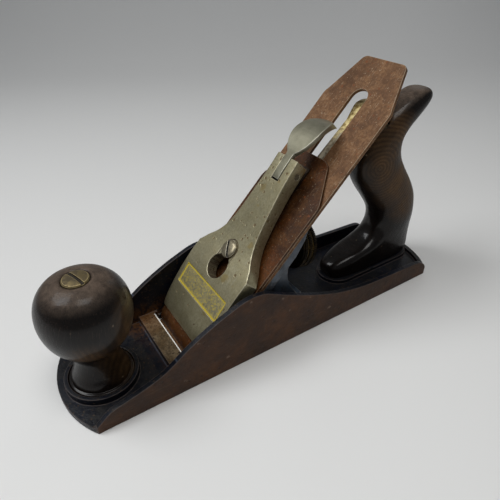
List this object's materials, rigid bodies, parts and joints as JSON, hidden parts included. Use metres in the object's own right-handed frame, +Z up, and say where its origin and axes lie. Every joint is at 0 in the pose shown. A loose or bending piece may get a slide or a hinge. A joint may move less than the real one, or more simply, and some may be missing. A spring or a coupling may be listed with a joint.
{
  "type": "smoothing plane",
  "caption": "Metal bench plane with a bowed-end casting, sloping frog, double iron under a lever cap, knurled depth wheel, side lever, ball knob and curved rear handle.",
  "frame": {"origin": "middle of the flat sole, under the middle of the casting's length and width", "axes": "+X from the toe to the heel, +Y across to the right side when pushing the tool towards the toe, +Z up from the sole"},
  "size_m": [0.246, 0.062, 0.1374],
  "materials": {
    "japanned_casting": "old black japan inside, rust brown outside, worn",
    "frog_paint": "blue black paint, worn",
    "dark_steel": "dark oxidised",
    "old_brass": "blackened, bright on the edges",
    "yoke_iron": "dark",
    "plated_lever": "yellowed plating, speckled",
    "dull_nickel_screw": "dull, worn slot",
    "dull_nickel": "dull nickel with yellow stains",
    "satin_nickel": "satin nickel",
    "rusted_steel": "brown rust, speckled",
    "rusted_cap_iron": "dark red brown rust",
    "dark_hardwood": "dark stain, old gloss",
    "brass_nut": "tarnished"
  },
  "bodies": {
    "casting": {"plane_body": "japanned_casting", "frog_screws": "dark_steel", "frog_screw_washers": "dark_steel", "knob": "dark_hardwood", "knob_stud": "dark_steel", "knob_nut": "brass_nut", "tote": "dark_hardwood", "tote_rod": "dark_steel", "tote_nut": "brass_nut"},
    "frog": {"frog": "frog_paint", "yoke_pin": "dark_steel", "lateral_pivot": "plated_lever", "lever_cap_screw": "dull_nickel_screw", "frog_clip": "dark_steel", "frog_clip_screw": "dark_steel"},
    "frog_adjusting_screw": {"frog_adjusting_screw": "dark_steel"},
    "depth_stud": {"depth_stud": "dark_steel"},
    "depth_wheel": {"depth_wheel": "old_brass"},
    "depth_yoke": {"depth_yoke": "yoke_iron"},
    "lateral_lever": {"lateral_lever": "plated_lever", "lateral_disc": "plated_lever"},
    "cutter_feed": {"cap_iron_screw": "dark_steel"},
    "cutter_pack": {"cutter": "rusted_steel", "cap_iron": "rusted_cap_iron"},
    "lever_cap": {"lever_cap": "dull_nickel", "cap_spring": "dark_steel", "cap_spring_rivet": "dark_steel", "cam_pin": "dull_nickel_screw"},
    "cam_lever": {"cap_cam_lever": "satin_nickel"}
  },
  "joints": [
    {"name": "frog_slide", "type": "slide", "parent": "casting", "child": "frog", "axis": [1, 0, 0], "range_m": [-0.0005, 0.0025]},
    {"name": "frog_screw_turn", "type": "hinge", "parent": "frog", "child": "frog_adjusting_screw", "pos_m": [0.01318, 0, 0.0096], "axis": [1, 0, 0], "range_deg": [-142.5, 710]},
    {"name": "depth_stud_travel", "type": "slide", "parent": "frog", "child": "depth_stud", "axis": [0.9848, 0, -0.1736], "range_m": [-0.0012, 0.0006]},
    {"name": "depth_wheel_turn", "type": "hinge", "parent": "depth_stud", "child": "depth_wheel", "pos_m": [0.01445, 0, 0.04297], "axis": [0.9848, 0, -0.1736], "range_deg": [-200, 398]},
    {"name": "yoke_swing", "type": "hinge", "parent": "frog", "child": "depth_yoke", "pos_m": [0.01636, 0, 0.0538], "axis": [0, 1, 0], "range_deg": [-3.1, 6.2]},
    {"name": "cutter_feed", "type": "slide", "parent": "frog", "child": "cutter_feed", "axis": [0.7071, 0, 0.7071], "range_m": [-0.0008, 0.0016]},
    {"name": "lateral_swing", "type": "hinge", "parent": "frog", "child": "lateral_lever", "pos_m": [0.02167, 0, 0.07607], "axis": [-0.7071, 0, 0.7071], "range_deg": [-7, 7]},
    {"name": "cutter_tilt", "type": "hinge", "parent": "cutter_feed", "child": "cutter_pack", "pos_m": [-0.02041, 0, 0.034], "axis": [-0.7071, 0, 0.7071], "range_deg": [-1.35, 1.35]},
    {"name": "lever_cap_slide", "type": "slide", "parent": "frog", "child": "lever_cap", "axis": [0.7071, 0, 0.7071], "range_m": [0, 0.0108]},
    {"name": "cam_lever_swing", "type": "hinge", "parent": "lever_cap", "child": "cam_lever", "pos_m": [0.01714, 0, 0.08937], "axis": [0, -1, 0], "range_deg": [0, 100]}
  ],
  "couplings": [
    {"joint": "frog_screw_turn", "follows": "frog_slide", "rad_per_m": 4947.4},
    {"joint": "depth_wheel_turn", "follows": "cutter_feed", "rad_per_m": 4326.2},
    {"joint": "depth_stud_travel", "follows": "cutter_feed", "ratio": -0.72848},
    {"joint": "yoke_swing", "follows": "cutter_feed", "rad_per_m": 66.225},
    {"joint": "cutter_tilt", "follows": "lateral_swing", "ratio": -0.19}
  ]
}
